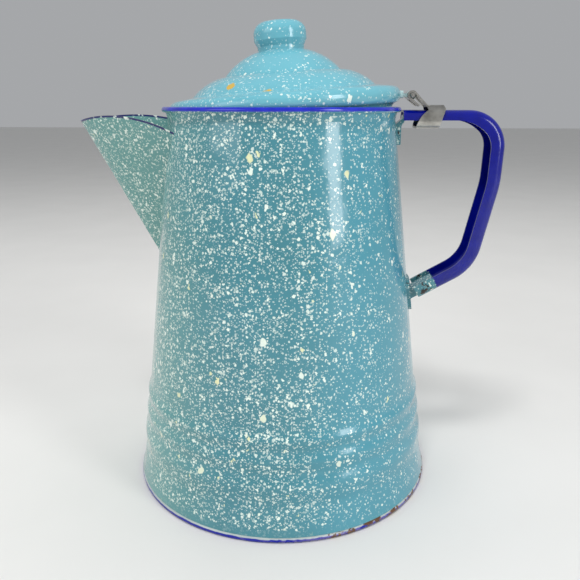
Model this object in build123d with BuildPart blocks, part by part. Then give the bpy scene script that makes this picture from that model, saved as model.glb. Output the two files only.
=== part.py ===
from build123d import *
from math import acos, atan, atan2, cos, degrees, hypot, radians, sin, sqrt
import os

# Enamelled camp coffee percolator. Millimetres, +Z up, origin at the centre of the base
# on the ground. The handle points along +X and the open beak spout along -X.

# ---- driving dimensions ----
sheet = 1.0                  # enamelled sheet of the pot, the spout and the lid
thin_sheet = 0.8             # bare sheet of the pump and the basket
body_gap = 0.3               # clearance between bodies that move
running_gap = 0.1            # radial clearance of the hinge pin in the clip's knuckles

# pot
rim_height = 216.0           # top of the rolled rim
rim_bead = 1.4               # radius of the rolled rim's bead
rim_overhang = 1.6           # the bead's centre stands this far outside the neck
rim_flare = 0.3              # share of the overhang that is covered halfway up the flare
neck_radius = 62.4
neck_drop = 6.7              # the wall turns out into the rim this far below its top
wall_taper = 0.1195          # growth of the wall's radius per millimetre downwards
waist_height = 18.0          # the wall flares out below the waist to meet the hem
hem_flare = 3.74             # the hem stands this far outside the waist
hem_height = 3.2
hem_width = 4.0
hem_round = 1.4
floor_recess = 2.0           # the pan's floor is lifted clear of the ground
rib_heights = (31.5, 43.0, 54.5)
rib_rise = 1.2

# spout; drops are measured down from the top of the rim
spout_root_drop = 86.0       # the beak narrows to a point on the wall here
spout_top_drop = 9.0         # level of the beak's widest stated section
spout_reach = 51.1           # from the neck to the beak's nose at that level
spout_half_width = 38.0      # half width where the beak meets the wall at that level
spout_belly = (0.53, 0.60)   # where each flank is fullest, as shares of reach and width
spout_start = 2.0            # the cone's blank starts just above its point
spout_trim_drop = 2.0        # blank height before the lip is cut
spout_lip_root_drop = 14.0   # where the lip leaves the wall
spout_lip_crown_drop = 4.4
spout_lip_tip_drop = 7.8
spout_lip_lead = 8.0         # the lip's crown lies this far outside its middle
strainer_hole = 5.0
strainer_pitch = 8.5
strainer_rows = 6
strainer_foot = 21.0         # height of the lowest hole above the spout's root

# handle; heights and reaches run from the rim's top and the neck
grip_width = 19.0
grip_sheet = 1.2
grip_depth = 8.0             # depth of the channel's flanges
grip_round = 4.8             # outside radius along the channel's back
grip_start = 3.8             # the channel's end clears the rolled rim
grip_reach = 59.6
grip_swell = (58.6, 41.0)    # middle of the grip, bowed out a little: reach and drop
grip_elbow = (48.5, 89.0)    # lower corner of the grip, before it is rounded
grip_end_drop = 106.8
grip_end_gap = 6.1           # the channel's lower end stands this far off the wall
grip_bends = (20.0, 60.0, 28.0)
strut_drop = 1.6             # the upper strut's back lies this far below the rim's top
strut_depth = 5.4            # the upper strut's flanges are cut shallower
strut_cut_turn = 42.0        # the flanges reach their full depth this far round the bend
neck_thickness = 5.5
neck_insertion = 12.0        # how far the lower bracket's neck reaches into the channel
bracket_sheet = 1.6
bracket_gap = 0.8            # the upper bracket passes the rolled rim at this distance
bracket_leg_drop = 20.0      # lowest point of the upper bracket on the wall
bracket_strap_reach = 21.6
lower_pad_height = 19.0
lower_pad_rise = 1.3         # the pad's centre is this far above the channel's end
lower_pad_width = 22.0

# lid, drawn in its own frame: radius and height from the lid's centre at its seam
lid_tilt = 4.2               # the closed lid rests a little high at the hinge
lid_shift = 1.7              # the lid's centre is this far towards the hinge
lid_lift = 2.2               # the seam's centre is this far above the rim's top
lid_overhang = 0.7           # the lid's edge is this far outside the neck
lid_skirt_gap = 4.0          # the skirt is this far inside the neck
lid_skirt_depth = 12.0
lid_skirt_bulge = (0.9, 4.7) # the skirt runs out into the edge through this point
lid_bead_low = (2.2, 4.2)    # lower end of the fat edge: in from it and below the seam
lid_bead_middle = 0.2        # height of the edge's widest point
lid_bead_high = (3.6, 4.3)   # upper end of the fat edge: in from it and above the seam
lid_flat_height = 5.7
lid_flat_width = 13.1
lid_step_width = 18.0
lid_step_bulge = 1.3
lid_shoulder = (4.0, 0.2)    # the step ends this far outside and below the dome's foot
lid_dome_height = 14.5
lid_dome_bulge = (1.2, 1.4)
lid_crown_radius = 13.0
lid_crown_height = 26.8
knob_radius = 14.2
knob_neck_radius = 12.6
knob_neck = 2.2              # height of the knob's neck
knob_belly = 5.3             # the knob is at its widest above this height
knob_height = 14.9           # from the lid's crown to the knob's top
knob_round = 6.5             # radius round the knob's top edge
rivet_radius = 2.0
rivet_head_radius = 4.5
rivet_tail_radius = 3.6
rivet_head = 1.5

# hinge
pin_reach = 7.9              # from the neck to the pin
pin_drop = 0.82              # the pin is this far below the lid's high edge
pin_radius = 1.3
pin_length = 20.0
pin_chamfer = 0.3
knuckle_width = 5.0
ear_width = 7.0
ear_thickness = 1.9
ear_foot_width = 13.0
ear_foot_lift = 0.4          # the foot's centre is this far above the pin
ear_foot_depth = 2.8
clip_sheet = 1.0
clip_rise = 2.6              # the clip's top is this far above the strut's back
clip_height = 12.2
clip_round = 3.0             # inside radius of the band's corners
clip_front = 2.7             # the clip's lower corner nearest the pot, from the pin
clip_waist = 8.7             # its edge curves back to here beside the strut
clip_hollow = (1.8, 0.5)     # depth and lift of that curve
clip_back = 17.7
clip_corner = (1.0, 2.0)     # the clip's clipped upper back corner
clip_rake = 3.0              # slant of the clip's back edge
tongue_root = 7.7            # the knuckles leave the clip's top here, from the pin
tongue_tip = 4.1             # end of each knuckle's lower leg

# pump, basket and spreader
foot_radius = 32.0
foot_lip = (2.0, 3.0)        # the bell's turned edge: width and height
foot_height = 18.0
throat_wall = 3.3            # from the riser tube out to the outside of the throat
seat_height = 8.5
foot_notches = 4
foot_notch_width = 8.0
foot_notch_depth = 5.3
foot_notch_height = 5.3
valve_play = 2.0             # the valve disc is this much smaller than the throat
valve_thickness = 0.8
tube_radius = 4.5
tube_bottom = 13.0
tube_rise = 10.0             # the tube's top stands this far above the rim's top
basket_clearance = 15.4      # from the neck in to the basket's wall
basket_drop = 86.0
basket_height = 58.0
basket_hole = 2.6
basket_hole_rings = 4
stop_wall = 3.5
stop_height = 4.0
spreader_rim = 5.0
spreader_hole = 2.6
spreader_hole_rings = 4

# ---- sizes worked out from the driving dimensions ----
neck_height = rim_height - neck_drop
rim_centre = (neck_radius + rim_overhang, rim_height - rim_bead)
pan_floor_top = floor_recess + sheet

spout_root_height = rim_height - spout_root_drop
spout_top_height = rim_height - spout_top_drop
spout_trim = rim_height - spout_trim_drop
spout_nose = neck_radius + spout_reach
spout_rise = spout_top_height - spout_root_height
spout_lift = sheet / sin(atan(spout_half_width / spout_rise))

strut_top = rim_height - strut_drop
strut_start = neck_radius + grip_start
strap_width = grip_width - 2 * grip_round
bracket_leg_foot = rim_height - bracket_leg_drop
bracket_strap_end = neck_radius + bracket_strap_reach

lid_radius = neck_radius + lid_overhang
lid_skirt_radius = neck_radius - lid_skirt_gap
lid_step_radius = lid_radius - lid_flat_width
lid_dome_radius = lid_step_radius - lid_step_width
lid_rise = lid_radius * sin(radians(lid_tilt))
lid_seat = rim_height + lid_lift
lid_up = Vector(-sin(radians(lid_tilt)), 0, cos(radians(lid_tilt)))
lid_out = Vector(cos(radians(lid_tilt)), 0, sin(radians(lid_tilt)))
lid_origin = Vector(lid_shift, 0, lid_seat)
lid_axis = Axis(lid_origin, lid_up)
lid_section = Plane(origin=lid_origin, x_dir=lid_out, z_dir=(0, -1, 0))
lid_edge = lid_shift + lid_radius

pin_x = neck_radius + pin_reach
pin_z = lid_seat + lid_rise - pin_drop
knuckle_inner = pin_radius + running_gap
knuckle_outer = knuckle_inner + clip_sheet
clip_top = strut_top + clip_rise
clip_bottom = clip_top - clip_height
knuckle_root = (pin_x + tongue_root, clip_top - clip_sheet)
knuckle_tip = (pin_x + tongue_tip, clip_top)

works_bottom = pan_floor_top + body_gap
throat_radius = tube_radius + throat_wall
stop_radius = tube_radius + stop_wall
sleeve_inner = tube_radius + body_gap
sleeve_outer = sleeve_inner + thin_sheet
basket_radius = neck_radius - basket_clearance
basket_bottom = rim_height - basket_drop
spreader_bottom = basket_bottom + basket_height + body_gap


def wall_radius(height):
    """Outside radius of the pot's plain tapered wall."""
    return neck_radius + wall_taper * (neck_height - height)


hem_radius = wall_radius(waist_height) + hem_flare
spout_side_x = -sqrt(wall_radius(spout_top_height) ** 2 - spout_half_width ** 2)
grip_end = (wall_radius(rim_height - grip_end_drop) + grip_end_gap, rim_height - grip_end_drop)
lower_pad_centre = grip_end[1] + lower_pad_rise


def wall_line(inset):
    """One side of the pot's wall, from the hem to the rim, moved in by the inset."""
    foot = (hem_radius - rim_bead / 2 - inset, hem_height)
    waist = (wall_radius(waist_height) - inset, waist_height)
    points = [waist]
    valley = (waist_height, *[(a + b) / 2 for a, b in zip(rib_heights, rib_heights[1:])])
    for low, crest in zip(valley, rib_heights):
        if low != waist_height:
            points.append((wall_radius(low) - inset, low))
        points.append((wall_radius(crest) + rib_rise - inset, crest))
    plain_from = 2 * rib_heights[-1] - valley[-1]
    points.append((wall_radius(plain_from) - inset, plain_from))
    neck = (neck_radius - inset, neck_height)
    lip = (rim_centre[0] - inset, rim_centre[1])
    Line(foot, waist)
    flare = (waist[0] - foot[0], waist[1] - foot[1])
    Spline(*points, tangents=[flare, (-wall_taper, 1)])
    Line(points[-1], neck)
    bulge = (neck[0] + rim_overhang * rim_flare, (neck_height + rim_centre[1]) / 2)
    ThreePointArc(neck, bulge, lip)
    return foot, lip


def cut_pot_space():
    """Takes the pot's outside, rim included, away from the piece being built."""
    with BuildSketch(Plane.XZ) as space:
        with BuildLine():
            foot, lip = wall_line(0)
            Polyline(lip, (0, rim_centre[1]), (0, hem_height), foot)
        make_face()
        with Locations(rim_centre):
            Circle(rim_bead)
    revolve(space.sketch, axis=Axis.Z, mode=Mode.SUBTRACT)


def lid_outline():
    """The lid's outside from the skirt's edge to the rivet hole, then its thickness."""
    skirt_top = (lid_skirt_radius, -lid_skirt_depth / 2)
    skirt_bulge = (lid_skirt_radius + lid_skirt_bulge[0], -lid_skirt_bulge[1])
    bead_low = (lid_radius - lid_bead_low[0], -lid_bead_low[1])
    bead_high = (lid_radius - lid_bead_high[0], lid_bead_high[1])
    step = (lid_step_radius, lid_flat_height)
    shoulder = (lid_dome_radius + lid_shoulder[0], lid_dome_height - lid_shoulder[1])
    dome_foot = (lid_dome_radius, lid_dome_height)
    crown = (lid_crown_radius, lid_crown_height)
    Line((lid_skirt_radius, -lid_skirt_depth), skirt_top)
    ThreePointArc(skirt_top, skirt_bulge, bead_low)
    ThreePointArc(bead_low, (lid_radius, lid_bead_middle), bead_high)
    Line(bead_high, step)
    step_height = (step[1] + shoulder[1]) / 2 + lid_step_bulge
    ThreePointArc(step, ((step[0] + shoulder[0]) / 2, step_height), shoulder)
    Line(shoulder, dome_foot)
    dome_side = (dome_foot[0] + crown[0]) / 2 + lid_dome_bulge[0]
    dome_height = (dome_foot[1] + crown[1]) / 2 + lid_dome_bulge[1]
    ThreePointArc(dome_foot, (dome_side, dome_height), crown)
    Line(crown, (rivet_radius, lid_crown_height))


def cut_lid_space():
    """Takes the lid's outside away from the piece being built."""
    with BuildSketch(lid_section) as space:
        with BuildLine():
            lid_outline()
            Polyline((rivet_radius, lid_crown_height), (0, lid_crown_height),
                     (0, -lid_skirt_depth), (lid_skirt_radius, -lid_skirt_depth))
        make_face()
    revolve(space.sketch, axis=lid_axis, mode=Mode.SUBTRACT)


def tangent_angle(point, radius, side):
    """Angle on a circle about the hinge axis where a line from the point touches it."""
    dx, dz = point[0] - pin_x, point[1] - pin_z
    return degrees(atan2(dz, dx)) + side * degrees(acos(radius / hypot(dx, dz)))


def on_knuckle(radius, angle):
    return (pin_x + radius * cos(radians(angle)), pin_z + radius * sin(radians(angle)))


def hole_rings(rings, inner, outer, hole_radius):
    """Rings of holes spread evenly between two radii, each with six more than the last."""
    pitch = (outer - inner) / (rings + 1)
    for ring in range(1, rings + 1):
        with PolarLocations(inner + ring * pitch, 6 * (ring + 1)):
            Circle(hole_radius, mode=Mode.SUBTRACT)


def save(piece, name):
    piece.part.label = name
    export_step(piece.part, f"parts/{name}.step")


os.makedirs("parts", exist_ok=True)

# ---- pot: the tapered wall with its ribs, rolled rim and strainer holes ----
with BuildPart() as body_shell:
    with BuildSketch(Plane.XZ):
        with BuildLine():
            foot, lip = wall_line(0)
            inner_foot, inner_lip = wall_line(sheet)
            Line(foot, inner_foot)
            Line(lip, inner_lip)
        make_face()
        with Locations(rim_centre):
            Circle(rim_bead)
    revolve(axis=Axis.Z)
    # A triangle of strainer holes in the wall behind the spout, point down.
    with BuildSketch(Plane.YZ):
        for row in range(strainer_rows):
            with Locations((0, spout_root_height + strainer_foot + row * strainer_pitch)):
                with GridLocations(strainer_pitch, strainer_pitch, row + 1, 1):
                    Circle(strainer_hole / 2)
    extrude(amount=-hem_radius, mode=Mode.SUBTRACT)
save(body_shell, "body_shell")

# ---- pan: the pressed floor and the hem that the pot stands on ----
with BuildPart() as base_pan:
    with BuildSketch(Plane.XZ) as pan_section:
        with Locations((hem_radius - hem_width, 0)):
            Rectangle(hem_width, hem_height, align=(Align.MIN, Align.MIN))
        fillet(pan_section.vertices().group_by(Axis.X)[-1], hem_round)
        with Locations((0, floor_recess)):
            Rectangle(hem_radius - hem_width, sheet, align=(Align.MIN, Align.MIN))
    revolve(axis=Axis.Z)
save(base_pan, "base_pan")


# ---- spout: an open beak, a cone patch that narrows to a point on the wall ----
def beak_section(height, lift):
    """The beak's outline at one height; the lift raises the cone that it belongs to."""
    share = (height - lift - spout_root_height) / spout_rise
    root_x = -wall_radius(spout_root_height)
    nose = root_x - share * (spout_nose + root_x)
    side = root_x + share * (spout_side_x - root_x)
    half = share * spout_half_width
    with BuildSketch(Plane.XY.offset(height)) as section:
        with BuildLine():
            flank = (side + spout_belly[0] * (nose - side), spout_belly[1] * half)
            left = (flank[0], -flank[1])
            Spline((side, -half), left, (nose, 0), flank, (side, half))
            Line((side, half), (side, -half))
        make_face()
    return section.sketch


with BuildPart() as spout_shell:
    loft([beak_section(spout_root_height + spout_start, 0), beak_section(spout_trim, 0)])
    loft([beak_section(spout_root_height + spout_start + spout_lift, spout_lift),
          beak_section(spout_trim, spout_lift)], mode=Mode.SUBTRACT)
    cut_pot_space()
    with BuildSketch(Plane.XZ):
        with BuildLine():
            root = (spout_side_x, rim_height - spout_lip_root_drop)
            crown_x = (spout_side_x - spout_nose) / 2 - spout_lip_lead
            tip = (-spout_nose - sheet, rim_height - spout_lip_tip_drop)
            beyond = tip[0] - spout_rise
            ThreePointArc(root, (crown_x, rim_height - spout_lip_crown_drop), tip)
            Polyline(tip, (beyond, tip[1]), (beyond, rim_height), (0, rim_height),
                     (0, root[1]), root)
        make_face()
    extrude(amount=hem_radius, both=True, mode=Mode.SUBTRACT)
save(spout_shell, "spout_shell")

# ---- handle: a channel with its open side towards the pot ----
with BuildPart() as handle_grip:
    swell = (neck_radius + grip_swell[0], rim_height - grip_swell[1])
    elbow = (neck_radius + grip_elbow[0], rim_height - grip_elbow[1])
    with BuildLine(Plane.XZ) as grip_back:
        FilletPolyline((strut_start, strut_top), (neck_radius + grip_reach, strut_top),
                       swell, elbow, grip_end, radius=grip_bends)
    back = grip_back.line
    with BuildSketch(Plane(origin=back @ 0, x_dir=(0, 1, 0), z_dir=back % 0)):
        with BuildLine():
            side = grip_width / 2
            channel = ((-side, -grip_depth), (-side, 0), (side, 0), (side, -grip_depth))
            FilletPolyline(*channel, radius=grip_round)
            offset(amount=grip_sheet, side=Side.RIGHT, closed=True)
        make_face()
    sweep(path=back)
    # The upper strut's flanges are shallower, and grow to full depth round the bend.
    with BuildSketch(Plane.XZ):
        bend = back.edges().filter_by(GeomType.CIRCLE).sort_by(Axis.Z)[-1].arc_center
        flange_edge = strut_top - strut_depth
        turn = radians(strut_cut_turn)
        depth_radius = grip_bends[0] - grip_depth
        merge = (bend.X + depth_radius * sin(turn), bend.Z + depth_radius * cos(turn))
        cut_radius = (flange_edge - merge[1]) / (1 - cos(turn))
        cut_end = merge[0] - cut_radius * sin(turn)
        with BuildLine():
            Line((neck_radius, flange_edge), (cut_end, flange_edge))
            TangentArc((cut_end, flange_edge), merge, tangent=(1, 0))
            Polyline(merge, (bend.X, bend.Z), (neck_radius, bend.Z), (neck_radius, flange_edge))
        make_face()
    extrude(amount=grip_width, both=True, mode=Mode.SUBTRACT)
save(handle_grip, "handle_grip")

# ---- upper bracket: a bent strap from the wall to the underside of the channel's back ----
with BuildPart() as handle_upper_bracket:
    with BuildSketch(Plane.XZ):
        with BuildLine():
            strap_top = strut_top - grip_sheet
            leg_x = wall_radius(bracket_leg_foot) + bracket_sheet
            bend_x = rim_centre[0] + rim_bead + bracket_gap + bracket_sheet
            Polyline((bracket_strap_end, strap_top), (bend_x, strap_top),
                     (bend_x - bracket_sheet, strap_top - bracket_sheet),
                     (bend_x - bracket_sheet, strap_top - 2 * bracket_sheet),
                     (neck_radius - sheet, neck_height - 2 * bracket_sheet),
                     (neck_radius - sheet, bracket_leg_foot), (leg_x, bracket_leg_foot),
                     (leg_x, neck_height - 2 * bracket_sheet),
                     (bend_x + bracket_sheet, strap_top - bracket_sheet),
                     (bracket_strap_end, strap_top - bracket_sheet), close=True)
        make_face()
    extrude(amount=strap_width / 2, both=True)
    cut_pot_space()
save(handle_upper_bracket, "handle_upper_bracket")

# ---- lower bracket: a spade-shaped pad on the wall and a neck into the channel ----
with BuildPart() as handle_lower_bracket:
    pad_top = lower_pad_centre + lower_pad_height / 2
    pad_foot = lower_pad_centre - lower_pad_height / 2
    with BuildSketch(Plane.YZ.offset(neck_radius)) as pad:
        with BuildLine():
            Polyline((-lower_pad_width / 2, pad_top), (lower_pad_width / 2, pad_top),
                     (lower_pad_width / 4, pad_foot), (-lower_pad_width / 4, pad_foot), close=True)
        make_face()
        fillet(pad.vertices(), lower_pad_width / 6)
    extrude(amount=hem_radius - neck_radius)
    with BuildSketch(Plane.XY.offset(pad_foot)):
        Circle(wall_radius(pad_foot) + bracket_sheet)
    extrude(amount=lower_pad_height, taper=degrees(atan(wall_taper)), mode=Mode.INTERSECT)
    strut_run = Vector(grip_end[0] - elbow[0], 0, grip_end[1] - elbow[1])
    neck_plane = Plane(origin=(grip_end[0], 0, grip_end[1]), x_dir=strut_run, z_dir=(0, 1, 0))
    with BuildSketch(neck_plane):
        with Locations((-neck_insertion, grip_sheet)):
            Rectangle(2 * neck_insertion, neck_thickness, align=(Align.MIN, Align.MIN))
    extrude(amount=strap_width / 2, both=True)
    cut_pot_space()
save(handle_lower_bracket, "handle_lower_bracket")


def knuckle_section(plane):
    """A strip that leaves the clip's top, curls round the pin and runs back below it."""
    start = tangent_angle(knuckle_root, knuckle_inner, 1)
    end = tangent_angle(knuckle_tip, knuckle_inner, -1) + 360
    with BuildSketch(plane) as section:
        with BuildLine():
            CenterArc((pin_x, pin_z), knuckle_inner, start, end - start)
            CenterArc((pin_x, pin_z), knuckle_outer, start, end - start)
            Line(on_knuckle(knuckle_inner, start), on_knuckle(knuckle_outer, start))
            Line(on_knuckle(knuckle_inner, end), on_knuckle(knuckle_outer, end))
        make_face()
        for far, angle in ((knuckle_root, start), (knuckle_tip, end)):
            across = (clip_sheet * cos(radians(angle)), clip_sheet * sin(radians(angle)))
            with BuildLine():
                Polyline(on_knuckle(knuckle_inner, angle), on_knuckle(knuckle_outer, angle),
                         (far[0] + across[0], far[1] + across[1]), far, close=True)
            make_face()
        with Locations(knuckle_root):
            Rectangle(2 * clip_sheet, clip_sheet, align=(Align.MIN, Align.MIN))
    return section.sketch


# ---- hinge clip: a band round the upper strut, with two tongues curled round the pin ----
with BuildPart() as hinge_clip:
    front_x = pin_x + clip_front
    back_x = pin_x + clip_back
    with BuildSketch(Plane.YZ.offset(front_x)) as band:
        middle = (clip_top + clip_bottom) / 2
        with Locations((0, middle)):
            Rectangle(grip_width + 2 * clip_sheet, clip_height)
        fillet(band.vertices(), clip_round + clip_sheet)
        with Locations((0, middle)):
            RectangleRounded(grip_width, clip_height - 2 * clip_sheet, clip_round,
                             mode=Mode.SUBTRACT)
    extrude(amount=clip_back - clip_front)
    with BuildSketch(Plane.XZ):
        with BuildLine():
            low_front = (front_x, clip_bottom)
            waist = (pin_x + clip_waist, strut_top)
            hollow_height = (clip_bottom + strut_top) / 2 + clip_hollow[1]
            ThreePointArc(low_front, (front_x + clip_hollow[0], hollow_height), waist)
            Polyline(waist, (knuckle_root[0], clip_top), (back_x - clip_corner[0], clip_top),
                     (back_x, clip_top - clip_corner[1]), (back_x - clip_rake, clip_bottom),
                     low_front)
        make_face()
    extrude(amount=grip_width, both=True, mode=Mode.INTERSECT)
    for knuckle_side in (-1, 1):
        inner_face = knuckle_side * (ear_width / 2 + body_gap)
        extrude(knuckle_section(Plane.XZ.offset(-inner_face)), amount=-knuckle_side * knuckle_width)
save(hinge_clip, "hinge_clip")

# ---- hinge pin: a wire pin fixed in the lid's ear ----
with BuildPart() as hinge_pin:
    with BuildSketch(Plane.XZ):
        with Locations((pin_x, pin_z)):
            Circle(pin_radius)
    extrude(amount=pin_length / 2, both=True)
    chamfer(hinge_pin.edges().filter_by(GeomType.CIRCLE), pin_chamfer)
save(hinge_pin, "hinge_pin")

# ---- lid: a stepped dome with a fat rolled edge and a skirt inside the pot ----
with BuildPart() as lid_shell:
    with BuildSketch(lid_section):
        with BuildLine():
            lid_outline()
            offset(amount=sheet, side=Side.LEFT, closed=True)
        make_face()
    revolve(axis=lid_axis)
save(lid_shell, "lid_shell")

# ---- lid ear: a foot on the lid's edge, an arm and a barrel round the pin ----
with BuildPart() as lid_hinge_ear:
    with BuildSketch(Plane.XZ):
        with Locations((lid_edge - sheet, pin_z)):
            Rectangle(pin_x - lid_edge, ear_thickness, align=(Align.MIN, Align.CENTER))
        with Locations((pin_x, pin_z)):
            Circle(knuckle_outer)
            Circle(pin_radius, mode=Mode.SUBTRACT)
    extrude(amount=ear_width / 2, both=True)
    with BuildSketch(Plane.YZ.offset(lid_edge - 2 * sheet)):
        with Locations((0, pin_z + ear_foot_lift)):
            RectangleRounded(ear_foot_width, 2 * ear_thickness, ear_thickness / 2)
    extrude(amount=ear_foot_depth)
    cut_lid_space()
save(lid_hinge_ear, "lid_hinge_ear")

# ---- knob: an enamelled hollow knob, and the rivet and washer that hold it ----
with BuildPart() as lid_knob:
    with BuildSketch(lid_section) as knob_section:
        knob_foot = lid_crown_height
        knob_top = lid_crown_height + knob_height
        with BuildLine():
            Polyline((0, knob_foot), (knob_neck_radius, knob_foot),
                     (knob_neck_radius, knob_foot + knob_neck),
                     (knob_radius, knob_foot + knob_belly), (knob_radius, knob_top),
                     (0, knob_top), close=True)
        make_face()
        rim_corners = knob_section.vertices().group_by(Axis.X)[-1].sort_by(Axis.Y)
        fillet(rim_corners[-1], knob_round)
        fillet(rim_corners[0], knob_neck)
        with Locations((0, knob_foot + sheet)):
            Rectangle(knob_neck_radius - 2 * sheet, knob_height - 3 * sheet,
                      align=(Align.MIN, Align.MIN), mode=Mode.SUBTRACT)
        Rectangle(rivet_radius, knob_top - knob_height / 2, align=(Align.MIN, Align.MIN),
                  mode=Mode.SUBTRACT)
    revolve(axis=lid_axis)
save(lid_knob, "lid_knob")

washer_top = lid_crown_height - sheet
with BuildPart() as knob_washer:
    with BuildSketch(lid_section):
        with Locations((rivet_radius, washer_top)):
            Rectangle(rivet_head_radius, sheet, align=(Align.MIN, Align.MAX))
    revolve(axis=lid_axis)
save(knob_washer, "knob_washer")

with BuildPart() as knob_rivet:
    rivet_tail = washer_top - sheet
    with BuildSketch(lid_section):
        with Locations((0, rivet_tail - rivet_head)):
            Rectangle(rivet_radius, lid_crown_height + sheet + 2 * rivet_head - rivet_tail,
                      align=(Align.MIN, Align.MIN))
            Rectangle(rivet_tail_radius, rivet_head, align=(Align.MIN, Align.MIN))
        with Locations((0, lid_crown_height + sheet)):
            Rectangle(rivet_head_radius, rivet_head, align=(Align.MIN, Align.MIN))
    revolve(axis=lid_axis)
save(knob_rivet, "knob_rivet")

# ---- pump: a bell foot with a valve seat, the riser tube and the loose valve disc ----
with BuildPart() as pump_foot:
    with BuildSketch(Plane.XZ):
        with BuildLine():
            Polyline((foot_radius, works_bottom),
                     (foot_radius - foot_lip[0], works_bottom + foot_lip[1]),
                     (throat_radius - thin_sheet / 2, seat_height + foot_lip[1]))
            offset(amount=thin_sheet, side=Side.RIGHT, closed=True)
        make_face()
        with Locations((throat_radius, seat_height)):
            Rectangle(thin_sheet, foot_height - seat_height, align=(Align.MAX, Align.MIN))
            Rectangle(throat_radius - tube_radius, thin_sheet, align=(Align.MAX, Align.MIN))
        with Locations((throat_radius, foot_height)):
            Rectangle(throat_radius - tube_radius, thin_sheet, align=(Align.MAX, Align.MAX))
    revolve(axis=Axis.Z)
    with PolarLocations(foot_radius, foot_notches):
        Box(2 * foot_notch_depth, foot_notch_width, 2 * foot_notch_height, mode=Mode.SUBTRACT)
save(pump_foot, "pump_foot")

with BuildPart() as pump_valve:
    with BuildSketch(Plane.XY.offset(seat_height + thin_sheet + body_gap)):
        Circle(throat_radius - valve_play)
    extrude(amount=valve_thickness)
save(pump_valve, "pump_valve")

with BuildPart() as pump_tube:
    with BuildSketch(Plane.XY.offset(tube_bottom)):
        Circle(tube_radius)
        Circle(tube_radius - thin_sheet, mode=Mode.SUBTRACT)
    extrude(amount=rim_height + tube_rise - tube_bottom)
save(pump_tube, "pump_tube")

with BuildPart() as basket_stop:
    with BuildSketch(Plane.XY.offset(basket_bottom - body_gap)):
        Circle(stop_radius)
        Circle(tube_radius, mode=Mode.SUBTRACT)
    extrude(amount=-stop_height)
save(basket_stop, "basket_stop")

# ---- basket: a perforated cup on a sleeve that slides on the riser tube ----
with BuildPart() as basket_cup:
    with BuildSketch(Plane.XY.offset(basket_bottom)):
        Circle(basket_radius)
        Circle(sleeve_outer, mode=Mode.SUBTRACT)
        hole_rings(basket_hole_rings, sleeve_outer, basket_radius, basket_hole / 2)
    extrude(amount=thin_sheet)
    with BuildSketch(Plane.XY.offset(basket_bottom)):
        Circle(basket_radius)
        Circle(basket_radius - thin_sheet, mode=Mode.SUBTRACT)
    extrude(amount=basket_height)
save(basket_cup, "basket_cup")

with BuildPart() as basket_sleeve:
    with BuildSketch(Plane.XY.offset(basket_bottom)):
        Circle(sleeve_outer)
        Circle(sleeve_inner, mode=Mode.SUBTRACT)
    extrude(amount=basket_height)
save(basket_sleeve, "basket_sleeve")

with BuildPart() as basket_spreader:
    spreader_radius = basket_radius + body_gap
    with BuildSketch(Plane.XY.offset(spreader_bottom)):
        Circle(spreader_radius + thin_sheet)
        Circle(sleeve_inner, mode=Mode.SUBTRACT)
        hole_rings(spreader_hole_rings, stop_radius, basket_radius, spreader_hole / 2)
    extrude(amount=thin_sheet)
    with BuildSketch(Plane.XY.offset(spreader_bottom)):
        Circle(spreader_radius + thin_sheet)
        Circle(spreader_radius, mode=Mode.SUBTRACT)
    extrude(amount=-spreader_rim)
save(basket_spreader, "basket_spreader")
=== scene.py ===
import math

import bpy
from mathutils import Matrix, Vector


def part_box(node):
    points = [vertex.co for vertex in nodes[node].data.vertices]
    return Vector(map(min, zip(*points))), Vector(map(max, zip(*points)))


# Looks for the enamelled camp coffee percolator. Metres, +Z up, in the CAD frame: handle
# along +X, spout along -X. Inside the materials every length is in millimetres.

MM = 0.001

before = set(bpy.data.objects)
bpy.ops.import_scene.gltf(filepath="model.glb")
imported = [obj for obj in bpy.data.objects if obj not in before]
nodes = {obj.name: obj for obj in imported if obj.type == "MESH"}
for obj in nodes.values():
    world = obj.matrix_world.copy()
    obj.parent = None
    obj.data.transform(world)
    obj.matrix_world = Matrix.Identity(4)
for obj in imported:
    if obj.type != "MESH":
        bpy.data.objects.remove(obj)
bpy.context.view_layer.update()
scene = bpy.context.scene
rim_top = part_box("body_shell")[1].z / MM


def srgb(red, green, blue):
    """A colour in 0 to 255 display values, as linear light."""
    values = [c / 255 for c in (red, green, blue)]
    return tuple(c / 12.92 if c < 0.04045 else ((c + 0.055) / 1.055) ** 2.4 for c in values)


# ---- colours ----
CREAM = srgb(230, 242, 232)
CREAM_WARM = srgb(228, 230, 184)
POT_TEALS = (srgb(68, 127, 137), srgb(80, 150, 167), srgb(108, 163, 158))
SPOUT_TEALS = (srgb(72, 132, 138), srgb(88, 146, 150), srgb(104, 158, 152))
LID_TEALS = (srgb(96, 166, 182), srgb(114, 184, 198))
BRACKET_TEALS = (srgb(60, 120, 134), srgb(88, 144, 150))
STRUT_TEALS = (srgb(60, 120, 134), srgb(92, 148, 152))
EAR_TEALS = (srgb(196, 214, 212), srgb(150, 190, 194))
COBALT = srgb(0, 4, 100)
COBALT_LIGHT = srgb(2, 18, 150)
COBALT_RIM = srgb(40, 50, 205)
COBALT_LIP = srgb(18, 30, 96)
LAVENDER_WEAR_AND_HIGHLIGHT = srgb(112, 104, 168)
# lavender: partly worn enamel and partly a painted highlight on the hem's cobalt
HEM_LINE = srgb(196, 208, 196)
CHIP_OCHRE = srgb(204, 168, 70)
BARE_IRON = srgb(40, 34, 32)
RUST = srgb(128, 84, 48)
TIN = (srgb(190, 188, 182), srgb(140, 138, 132))
ALUMINIUM = (srgb(200, 202, 206), srgb(170, 172, 178))
FLOOR_GREYS = (srgb(222, 221, 218), srgb(230, 229, 226))

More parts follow.
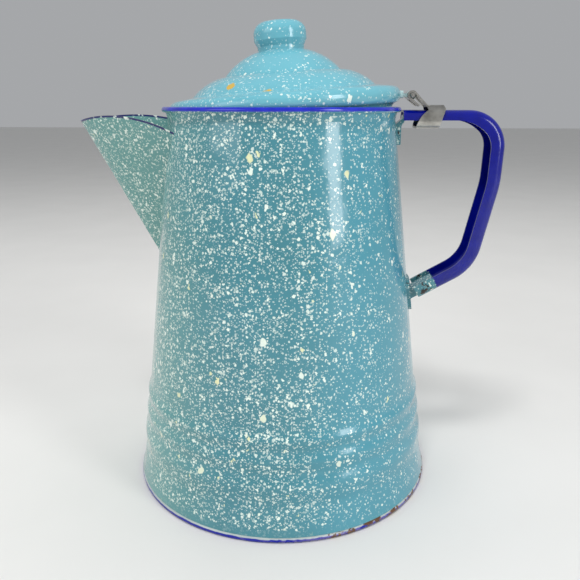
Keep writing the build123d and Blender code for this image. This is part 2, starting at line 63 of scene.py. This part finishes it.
# ---- specks: each layer has a spot in some of its cells, one at most ----
# the cell (mm), the share of cells with a spot, the largest radius (in cells), the seed, how
# far the spots' outlines bend (in cells), and the stretch, where under 1 is drawn out
MIST = dict(cell=0.95, share=0.95, largest=0.62, seed=1)
FINE = dict(cell=1.5, share=0.80, largest=0.52, seed=5)
SMALL = dict(cell=2.3, share=0.60, largest=0.44, seed=2)
MEDIUM = dict(cell=4.2, share=0.44, largest=0.34, seed=3, bend=0.5, stretch=(1.0, 1.0, 0.75))
LARGE = dict(cell=6.6, largest=0.31, seed=4, bend=0.2, stretch=(1.0, 1.0, 0.8))
# how solid a layer's spots are, or its faintest and its boldest ones
MIST_SOLID = 0.55
FINE_SOLID = (0.45, 0.9)
SMALL_SOLID = (0.6, 1.0)
MEDIUM_SOLID = 0.95
LARGE_SOLID = 0.92
MEDIUM_WARM_FROM = 0.80           # the pick above which a medium spot is warm
LARGE_WARM = (0.1, 0.9)           # the picks between which large spots go from cream to warm
SEED_STEP = (17.3, 9.1, 5.7)      # mm from one seed's pattern to the next one's
BEND_SIZE = 0.45                  # size of the noise that bends the outlines, in cells
SIZE_BIAS = 1.6                   # above 1, small spots outnumber large ones
SPOT_EDGE = (-0.02, 0.05)         # a spot's soft edge, in cells
CLOUD_SIZE = 24.0                 # mm across a cloud of denser or sparser specks
CLOUD_SHARES = (0.6, 1.3)         # how sparse and how dense the clouds make them
BLOB_HEIGHTS = (130.0, 40.0)      # large spots grow more common between these heights
BLOB_SHARES = (0.25, 0.75)

# ---- the enamel's surface: size of a wave (mm) and its height ----
WAVE_SIZE, WAVE_HEIGHT = 16.0, 1.6
PEEL_SIZE, PEEL_HEIGHT = 1.8, 0.16
SPECK_HEIGHT = 0.10

# ---- places on the object, in millimetres ----
POT_SPECKS_X = (-10.0, 66.0)      # the wall's specks thin out between these
POT_SPECKS = (1.2, 0.34)
LID_SPECKS_X = (-66.0, 30.0)      # and the lid's between these
LID_SPECKS = (0.62, 0.24)
BLUER_X = (5.0, 50.0)             # the teal turns bluer towards the handle
GREENER_X = (-15.0, -80.0)        # and greener towards the spout
PLAIN_FOOT_Z = (11.0, 9.0)        # few specks below this ragged line
RIM_BLUE_Z = (rim_top - 2.1, rim_top - 1.5)
# the spout's lip as the CAD cuts it: at the wall, at its crown and at its tip
LIP_ROOT = (-49.84, rim_top - 14.0)
LIP_CROWN = (-89.67, rim_top - 4.4)
LIP_TIP = (-114.5, rim_top - 7.8)
LIP_LINE = (-0.9, -0.5)           # the blue line starts this far inside the lip's circle
# two chips in the lid's flat: place and size
LID_CHIPS = ((-21.3, -39.6, 224.9, 2.8), (-2.4, -52.0, 223.2, 3.0))
# the lower strut is teal where x + STRUT_SLOPE z stays under these, below STRUT_TOP_Z
STRUT_SLOPE = 0.6
STRUT_TEAL_END = (163.5, 162.0)
STRUT_TOP_Z = 150.0
HEM_LINE_Z = (2.7, 3.0)           # a pale line where the hem meets the wall
HEM_WEAR_AND_HIGHLIGHT_X = (-60.0, 60.0)        # the hem is more worn, and has more painted lavender highlight, towards the handle
HEM_RUST_X = (0.0, 45.0)          # and rusty

# ---- the photograph's camera: a little above the rim, looking down at the pot ----
EYE = (0.0295, -0.3566, 0.2169)
TURN, PITCH = math.radians(4.0), math.radians(16.6)
SENSOR, LENS = 36.0, 38.5

# ---- the studio ----
FLOOR_HALF = 6.0
LIT_POINT = (0, 0, 0.13)
# name, place, size, watts, and whether the enamel mirrors it
LAMPS = (
    ("key", (1.15, -0.85, 0.62), (0.35, 1.0), 9, True),
    ("fill", (-1.1, -0.9, 0.8), (0.9, 0.9), 5, True),
    ("top", (0.0, 0.4, 1.3), (1.2, 0.8), 5, False),
    ("front", (-0.15, -0.62, 1.4), (0.35, 0.25), 9, False),
)
SKY_COLOUR = (0.9, 0.92, 0.95, 1.0)
SKY_STRENGTH = 0.42

# a Mix node's sockets while it mixes colours
MIX_SHARE, MIX_A, MIX_B, MIX_RESULT = 0, 6, 7, 2


# ---- node helpers ----
class Graph:
    """A material's node tree, with short calls for the nodes that the finishes use."""

    def __init__(self, name):
        self.material = bpy.data.materials.new(name)
        self.material.use_nodes = True
        self.tree = self.material.node_tree
        self.shader = self.tree.nodes["Principled BSDF"]
        coords = self.tree.nodes.new("ShaderNodeTexCoord")
        scale = self.tree.nodes.new("ShaderNodeVectorMath")
        scale.operation = "SCALE"
        scale.inputs["Scale"].default_value = 1 / MM
        self.link(coords.outputs["Object"], scale.inputs[0])
        self.place = scale.outputs[0]
        split = self.tree.nodes.new("ShaderNodeSeparateXYZ")
        self.link(self.place, split.inputs[0])
        self.x, self.y, self.z = split.outputs

    def link(self, source, target):
        self.tree.links.new(source, target)

    def feed(self, socket, value):
        """Links a socket to another, or sets it to a number, a vector or a colour."""
        if isinstance(value, bpy.types.NodeSocket):
            self.link(value, socket)
        elif isinstance(value, tuple) and len(value) == 3 and socket.type == "RGBA":
            socket.default_value = (*value, 1.0)
        else:
            socket.default_value = value

    def math(self, operation, a, b=0.0, clamp=False):
        node = self.tree.nodes.new("ShaderNodeMath")
        node.operation = operation
        node.use_clamp = clamp
        self.feed(node.inputs[0], a)
        self.feed(node.inputs[1], b)
        return node.outputs[0]

    def vector(self, operation, a, b):
        node = self.tree.nodes.new("ShaderNodeVectorMath")
        node.operation = operation
        self.feed(node.inputs[0], a)
        self.feed(node.inputs[1], b)
        return node.outputs["Value" if operation == "DISTANCE" else "Vector"]

    def ramp(self, value, low, high, out_low=0.0, out_high=1.0, smooth=True):
        """Goes from out_low to out_high while the value goes from low to high."""
        node = self.tree.nodes.new("ShaderNodeMapRange")
        node.interpolation_type = "SMOOTHSTEP" if smooth else "LINEAR"
        for socket, item in zip(node.inputs, (value, low, high, out_low, out_high)):
            self.feed(socket, item)
        return node.outputs[0]

    def moved(self, offset, stretch=(1.0, 1.0, 1.0)):
        node = self.tree.nodes.new("ShaderNodeMapping")
        self.link(self.place, node.inputs["Vector"])
        node.inputs["Location"].default_value = offset
        node.inputs["Scale"].default_value = stretch
        return node.outputs[0]

    def noise(self, size, detail=2.0, rough=0.5, place=None, colour=False):
        """Noise whose features are about size millimetres across."""
        node = self.tree.nodes.new("ShaderNodeTexNoise")
        self.link(place or self.place, node.inputs["Vector"])
        node.inputs["Scale"].default_value = 1 / size
        node.inputs["Detail"].default_value = detail
        node.inputs["Roughness"].default_value = rough
        return node.outputs["Color" if colour else "Fac"]

    def mix(self, share, a, b):
        node = self.tree.nodes.new("ShaderNodeMix")
        node.data_type = "RGBA"
        self.feed(node.inputs[MIX_SHARE], share)
        self.feed(node.inputs[MIX_A], a)
        self.feed(node.inputs[MIX_B], b)
        return node.outputs[MIX_RESULT]

    def specks(self, density, cell, share, largest, seed, bend=0.35, stretch=(1.0, 1.0, 1.0)):
        """One layer of irregular spots; returns its cover and each spot's random pick."""
        place = self.moved(tuple(seed * step for step in SEED_STEP), stretch)
        shift = self.noise(cell * BEND_SIZE, 1.0, 0.5, place, colour=True)
        shift = self.vector("SUBTRACT", shift, (0.5, 0.5, 0.5))
        shift = self.vector("MULTIPLY", shift, (cell * bend * 2,) * 3)
        cells = self.tree.nodes.new("ShaderNodeTexVoronoi")
        self.link(self.vector("ADD", place, shift), cells.inputs["Vector"])
        cells.inputs["Scale"].default_value = 1 / cell
        pick = self.tree.nodes.new("ShaderNodeSeparateColor")
        self.link(cells.outputs["Color"], pick.inputs[0])
        size_pick, share_pick, tone_pick = pick.outputs
        radius = self.math("POWER", size_pick, SIZE_BIAS)
        radius = self.math("MULTIPLY", radius, largest)
        alive = self.math("LESS_THAN", share_pick, self.math("MULTIPLY", density, share))
        radius = self.math("MULTIPLY", radius, alive)
        edge = self.math("SUBTRACT", radius, cells.outputs["Distance"])
        return self.ramp(edge, *SPOT_EDGE), tone_pick

    def finish(self, colour, roughness, height, bump, metallic=0.0, coat=0.0):
        """Sets the shader: colour, roughness, and relief from a height in millimetres."""
        shader = self.shader
        self.feed(shader.inputs["Base Color"], colour)
        self.feed(shader.inputs["Roughness"], roughness)
        shader.inputs["Metallic"].default_value = metallic
        shader.inputs["Coat Weight"].default_value = coat
        shader.inputs["Coat Roughness"].default_value = 0.06
        shader.inputs["Specular IOR Level"].default_value = 0.4
        node = self.tree.nodes.new("ShaderNodeBump")
        node.inputs["Strength"].default_value = bump
        node.inputs["Distance"].default_value = MM
        self.link(height, node.inputs["Height"])
        self.link(node.outputs[0], shader.inputs["Normal"])
        return self.material


# ---- finishes ----
def speckled(graph, ground, density, blobs):
    """Cream specks in five sizes over a ground colour; returns colour and relief."""
    clouds = graph.noise(CLOUD_SIZE, 2.0, 0.6)
    density = graph.math("MULTIPLY", density, graph.ramp(clouds, 0.30, 0.70, *CLOUD_SHARES))
    low = graph.ramp(graph.z, *BLOB_HEIGHTS)
    blobs = graph.math("MULTIPLY", blobs, graph.ramp(low, 0, 1, *BLOB_SHARES))
    mist, _ = graph.specks(density, **MIST)
    fine, fine_pick = graph.specks(density, **FINE)
    small, small_pick = graph.specks(density, **SMALL)
    medium, medium_pick = graph.specks(density, **MEDIUM)
    large, large_pick = graph.specks(density, share=blobs, **LARGE)
    fine_solid = graph.ramp(fine_pick, 0, 1, *FINE_SOLID)
    small_solid = graph.ramp(small_pick, 0, 1, *SMALL_SOLID)
    medium_tone = graph.mix(graph.math("GREATER_THAN", medium_pick, MEDIUM_WARM_FROM),
                            CREAM, CREAM_WARM)
    large_tone = graph.mix(graph.ramp(large_pick, *LARGE_WARM), CREAM, CREAM_WARM)
    colour = ground
    for cover, solid, tone in ((mist, MIST_SOLID, CREAM), (fine, fine_solid, CREAM),
                               (small, small_solid, CREAM),
                               (medium, MEDIUM_SOLID, medium_tone),
                               (large, LARGE_SOLID, large_tone)):
        colour = graph.mix(graph.math("MULTIPLY", cover, solid), colour, tone)
    relief = graph.math("MAXIMUM", graph.math("MAXIMUM", small, medium), large)
    return colour, relief


def enamel_relief(graph, relief):
    """Height of glossy enamel: slow waves in the sheet, fine peel and proud specks."""
    waves = graph.math("MULTIPLY", graph.noise(WAVE_SIZE, 1.0, 0.4), WAVE_HEIGHT)
    peel = graph.math("MULTIPLY", graph.noise(PEEL_SIZE, 1.0, 0.5), PEEL_HEIGHT)
    height = graph.math("ADD", waves, peel)
    return graph.math("ADD", height, graph.math("MULTIPLY", relief, SPECK_HEIGHT))


def teal_ground(graph, deep, light, green):
    """Teal with soft cloudy patches, bluer towards the handle and greener at the spout."""
    patches = graph.math("MULTIPLY", graph.noise(30.0, 2.0, 0.55), 0.5)
    blue = graph.ramp(graph.x, *BLUER_X, 0.0, 0.75)
    base = graph.mix(graph.math("ADD", patches, blue, clamp=True), deep, light)
    return graph.mix(graph.ramp(graph.x, *GREENER_X, 0.0, 0.85), base, green)


def pot_enamel():
    """The wall: teal with specks, and cobalt on top of the rolled rim."""
    graph = Graph("pot_enamel")
    ground = teal_ground(graph, *POT_TEALS)
    density = graph.ramp(graph.x, *POT_SPECKS_X, *POT_SPECKS, smooth=False)
    colour, relief = speckled(graph, ground, density, 0.62)
    foot = graph.math("ADD", graph.z, graph.math("MULTIPLY", graph.noise(9.0), 6.0))
    colour = graph.mix(graph.ramp(foot, *PLAIN_FOOT_Z, 0.0, 0.85), colour, ground)
    rim = graph.math("ADD", graph.z, graph.math("MULTIPLY", graph.noise(6.0), 0.5))
    blue = graph.mix(graph.noise(5.0), COBALT_LIGHT, COBALT_RIM)
    colour = graph.mix(graph.ramp(rim, *RIM_BLUE_Z), colour, blue)
    return graph.finish(colour, 0.17, enamel_relief(graph, relief), 0.4, coat=0.3)


def circle_through(a, b, c):
    """Centre and radius of the circle through three points."""
    d = 2 * (a[0] * (b[1] - c[1]) + b[0] * (c[1] - a[1]) + c[0] * (a[1] - b[1]))
    sa, sb, sc = (x * x + z * z for x, z in (a, b, c))
    cx = (sa * (b[1] - c[1]) + sb * (c[1] - a[1]) + sc * (a[1] - b[1])) / d
    cz = (sa * (c[0] - b[0]) + sb * (a[0] - c[0]) + sc * (b[0] - a[0])) / d
    return (cx, cz), math.hypot(a[0] - cx, a[1] - cz)


def spout_enamel():
    """Speckled like the wall, with a worn dark blue line along the lip."""
    graph = Graph("spout_enamel")
    colour, relief = speckled(graph, teal_ground(graph, *SPOUT_TEALS), 1.15, 0.5)
    (cx, cz), radius = circle_through(LIP_ROOT, LIP_CROWN, LIP_TIP)
    dx = graph.math("SUBTRACT", graph.x, cx)
    dz = graph.math("SUBTRACT", graph.z, cz)
    reach = graph.math("SQRT", graph.math("ADD", graph.math("MULTIPLY", dx, dx),
                                          graph.math("MULTIPLY", dz, dz)))
    ragged = graph.math("MULTIPLY", graph.noise(3.0, 2.0, 0.6), 0.6)
    lip = graph.ramp(graph.math("ADD", reach, ragged), *(radius + edge for edge in LIP_LINE))
    worn = graph.ramp(graph.noise(4.0, 2.0, 0.6), 0.58, 0.66)
    colour = graph.mix(lip, colour, graph.mix(worn, COBALT_LIP, CREAM))
    return graph.finish(colour, 0.17, enamel_relief(graph, relief), 0.4, coat=0.3)


def lid_enamel():
    """A lighter teal with few specks and two chips that show ochre."""
    graph = Graph("lid_enamel")
    ground = graph.mix(graph.noise(26.0, 2.0, 0.55), *LID_TEALS)
    density = graph.ramp(graph.x, *LID_SPECKS_X, *LID_SPECKS, smooth=False)
    colour, relief = speckled(graph, ground, density, 0.2)
    for *place, size in LID_CHIPS:
        away = graph.vector("DISTANCE", graph.place, tuple(place))
        ragged = graph.math("MULTIPLY", graph.noise(2.0, 3.0, 0.7), size)
        away = graph.math("ADD", away, ragged)
        colour = graph.mix(graph.ramp(away, size * 1.5, size * 1.3), colour, CHIP_OCHRE)
    return graph.finish(colour, 0.15, enamel_relief(graph, relief), 0.35, coat=0.35)


def bracket_enamel():
    """Speckled teal with bare dark spots where the enamel has gone."""
    graph = Graph("bracket_enamel")
    ground = graph.mix(graph.noise(12.0), *BRACKET_TEALS)
    colour, relief = speckled(graph, ground, 0.9, 0.4)
    bare = graph.ramp(graph.noise(4.5, 3.0, 0.7, graph.moved((9.0, 3.0, 0.0))), 0.60, 0.66)
    colour = graph.mix(bare, colour, BARE_IRON)
    return graph.finish(colour, graph.ramp(bare, 0, 1, 0.2, 0.6),
                        enamel_relief(graph, relief), 0.4, coat=0.4)


def cobalt_enamel():
    """The handle: cobalt, its lower end speckled teal with bare dark spots."""
    graph = Graph("cobalt_enamel")
    flow = graph.noise(9.0, 3.0, 0.6)
    cobalt = graph.mix(flow, COBALT, COBALT_LIGHT)
    teal, _ = speckled(graph, graph.mix(graph.noise(8.0), *STRUT_TEALS), 1.0, 0.4)
    bare = graph.ramp(graph.noise(5.0, 3.0, 0.7, graph.moved((5.0, 0.0, 2.0))), 0.54, 0.60)
    teal = graph.mix(bare, teal, BARE_IRON)
    ragged = graph.math("MULTIPLY", graph.noise(4.0, 2.0, 0.6), 6.0)
    along = graph.math("ADD", graph.x, graph.math("MULTIPLY", graph.z, STRUT_SLOPE))
    along = graph.math("ADD", along, ragged)
    lower = graph.math("LESS_THAN", graph.z, STRUT_TOP_Z)
    teal_end = graph.math("MULTIPLY", graph.ramp(along, *STRUT_TEAL_END), lower)
    colour = graph.mix(teal_end, cobalt, teal)
    return graph.finish(colour, 0.2, enamel_relief(graph, flow), 0.3, coat=0.25)


def hem_enamel():
    """Cobalt at the spout's side, worn to lavender, cream and rust towards the handle; the
    lavender is partly wear and partly a painted highlight.
    """
    graph = Graph("hem_enamel")
    wear = graph.noise(8.0, 3.0, 0.65)
    # the lavender patches, part wear and part painted highlight, grow towards the handle
    wear_and_highlight_side = graph.ramp(graph.x, *HEM_WEAR_AND_HIGHLIGHT_X, 0.0, 0.25)
    worn = graph.ramp(graph.math("ADD", wear, wear_and_highlight_side), 0.62, 0.78)
    colour = graph.mix(graph.math("MULTIPLY", worn, 0.7), COBALT_LIGHT, LAVENDER_WEAR_AND_HIGHLIGHT)
    line = graph.ramp(graph.math("ADD", graph.z, wear), *HEM_LINE_Z, 0.0, 0.8)
    colour = graph.mix(line, colour, HEM_LINE)
    rusty = graph.ramp(graph.x, *HEM_RUST_X, -0.06, 0.12)
    field = graph.noise(6.0, 3.0, 0.7, graph.moved((40.0, 0.0, 0.0)))
    chips = graph.ramp(graph.math("ADD", field, rusty), 0.60, 0.66)
    colour = graph.mix(chips, colour, graph.mix(graph.noise(1.5), RUST, BARE_IRON))
    return graph.finish(colour, graph.ramp(chips, 0, 1, 0.22, 0.7),
                        graph.math("MULTIPLY", chips, -0.3), 0.5, coat=0.3)


def pale_enamel():
    """The lid's ear: nearly white enamel with a little teal."""
    graph = Graph("pale_enamel")
    colour = graph.mix(graph.noise(3.0), *EAR_TEALS)
    return graph.finish(colour, 0.2, enamel_relief(graph, graph.noise(2.0)), 0.3, coat=0.5)


def brushed(name, tones, roughness):
    """Satin metal with fine scratches and soft stains."""
    graph = Graph(name)
    stain = graph.noise(8.0, 3.0, 0.6)
    grain = graph.noise(0.5, 3.0, 0.6, graph.moved((0, 0, 0), (0.12, 1.0, 1.0)))
    colour = graph.mix(graph.ramp(stain, 0.35, 0.75), *tones)
    rough = graph.ramp(grain, 0.3, 0.7, roughness - 0.04, roughness + 0.05)
    return graph.finish(colour, rough, stain, 0.05, metallic=1.0)


def give_finishes():
    """Paints each CAD piece; the works inside the pot are all bare aluminium."""
    lid = lid_enamel()
    bracket = bracket_enamel()
    tin = brushed("tinned_steel", TIN, 0.32)
    aluminium = brushed("spun_aluminium", ALUMINIUM, 0.32)
    finish = {
        "body_shell": pot_enamel(), "spout_shell": spout_enamel(), "base_pan": hem_enamel(),
        "handle_grip": cobalt_enamel(), "handle_upper_bracket": bracket,
        "handle_lower_bracket": bracket, "hinge_clip": tin, "hinge_pin": tin,
        "lid_shell": lid, "lid_knob": lid, "lid_hinge_ear": pale_enamel(),
        "knob_rivet": tin, "knob_washer": tin,
    }
    for name, node in nodes.items():
        node.material_slots[0].material = finish.get(name, aluminium)


# ---- floor, camera and light ----
def make_floor():
    mesh = bpy.data.meshes.new("floor")
    half = FLOOR_HALF
    corners = [(-half, -half, 0), (half, -half, 0), (half, half, 0), (-half, half, 0)]
    mesh.from_pydata(corners, [], [(0, 1, 2, 3)])
    floor = bpy.data.objects.new("floor", mesh)
    scene.collection.objects.link(floor)
    graph = Graph("pale_floor")
    shade = graph.mix(graph.noise(90.0, 4.0), *FLOOR_GREYS)
    mesh.materials.append(graph.finish(shade, 0.75, graph.noise(3.0), 0.02))


def aim(thing, direction):
    """Turns a camera or a lamp to look along a direction."""
    thing.rotation_mode = "QUATERNION"
    thing.rotation_quaternion = direction.to_track_quat("-Z", "Y")


def make_camera():
    camera = bpy.data.cameras.new("camera")
    camera.sensor_width = SENSOR
    camera.lens = LENS
    eye = bpy.data.objects.new("camera", camera)
    scene.collection.objects.link(eye)
    eye.location = EYE
    aim(eye, Vector((-math.sin(TURN) * math.cos(PITCH), math.cos(TURN) * math.cos(PITCH),
                     -math.sin(PITCH))))
    scene.camera = eye


def make_light():
    for name, place, size, watts, mirrored in LAMPS:
        light = bpy.data.lights.new(name, "AREA")
        light.shape = "RECTANGLE"
        light.size, light.size_y = size
        light.energy = watts
        lamp = bpy.data.objects.new(name, light)
        scene.collection.objects.link(lamp)
        lamp.location = place
        lamp.visible_glossy = mirrored
        aim(lamp, Vector(LIT_POINT) - Vector(place))
    world = bpy.data.worlds.new("studio")
    world.use_nodes = True
    sky = world.node_tree.nodes["Background"]
    sky.inputs["Color"].default_value = SKY_COLOUR
    sky.inputs["Strength"].default_value = SKY_STRENGTH
    scene.world = world


give_finishes()
make_floor()
make_camera()
make_light()
scene.view_settings.view_transform = "Standard"
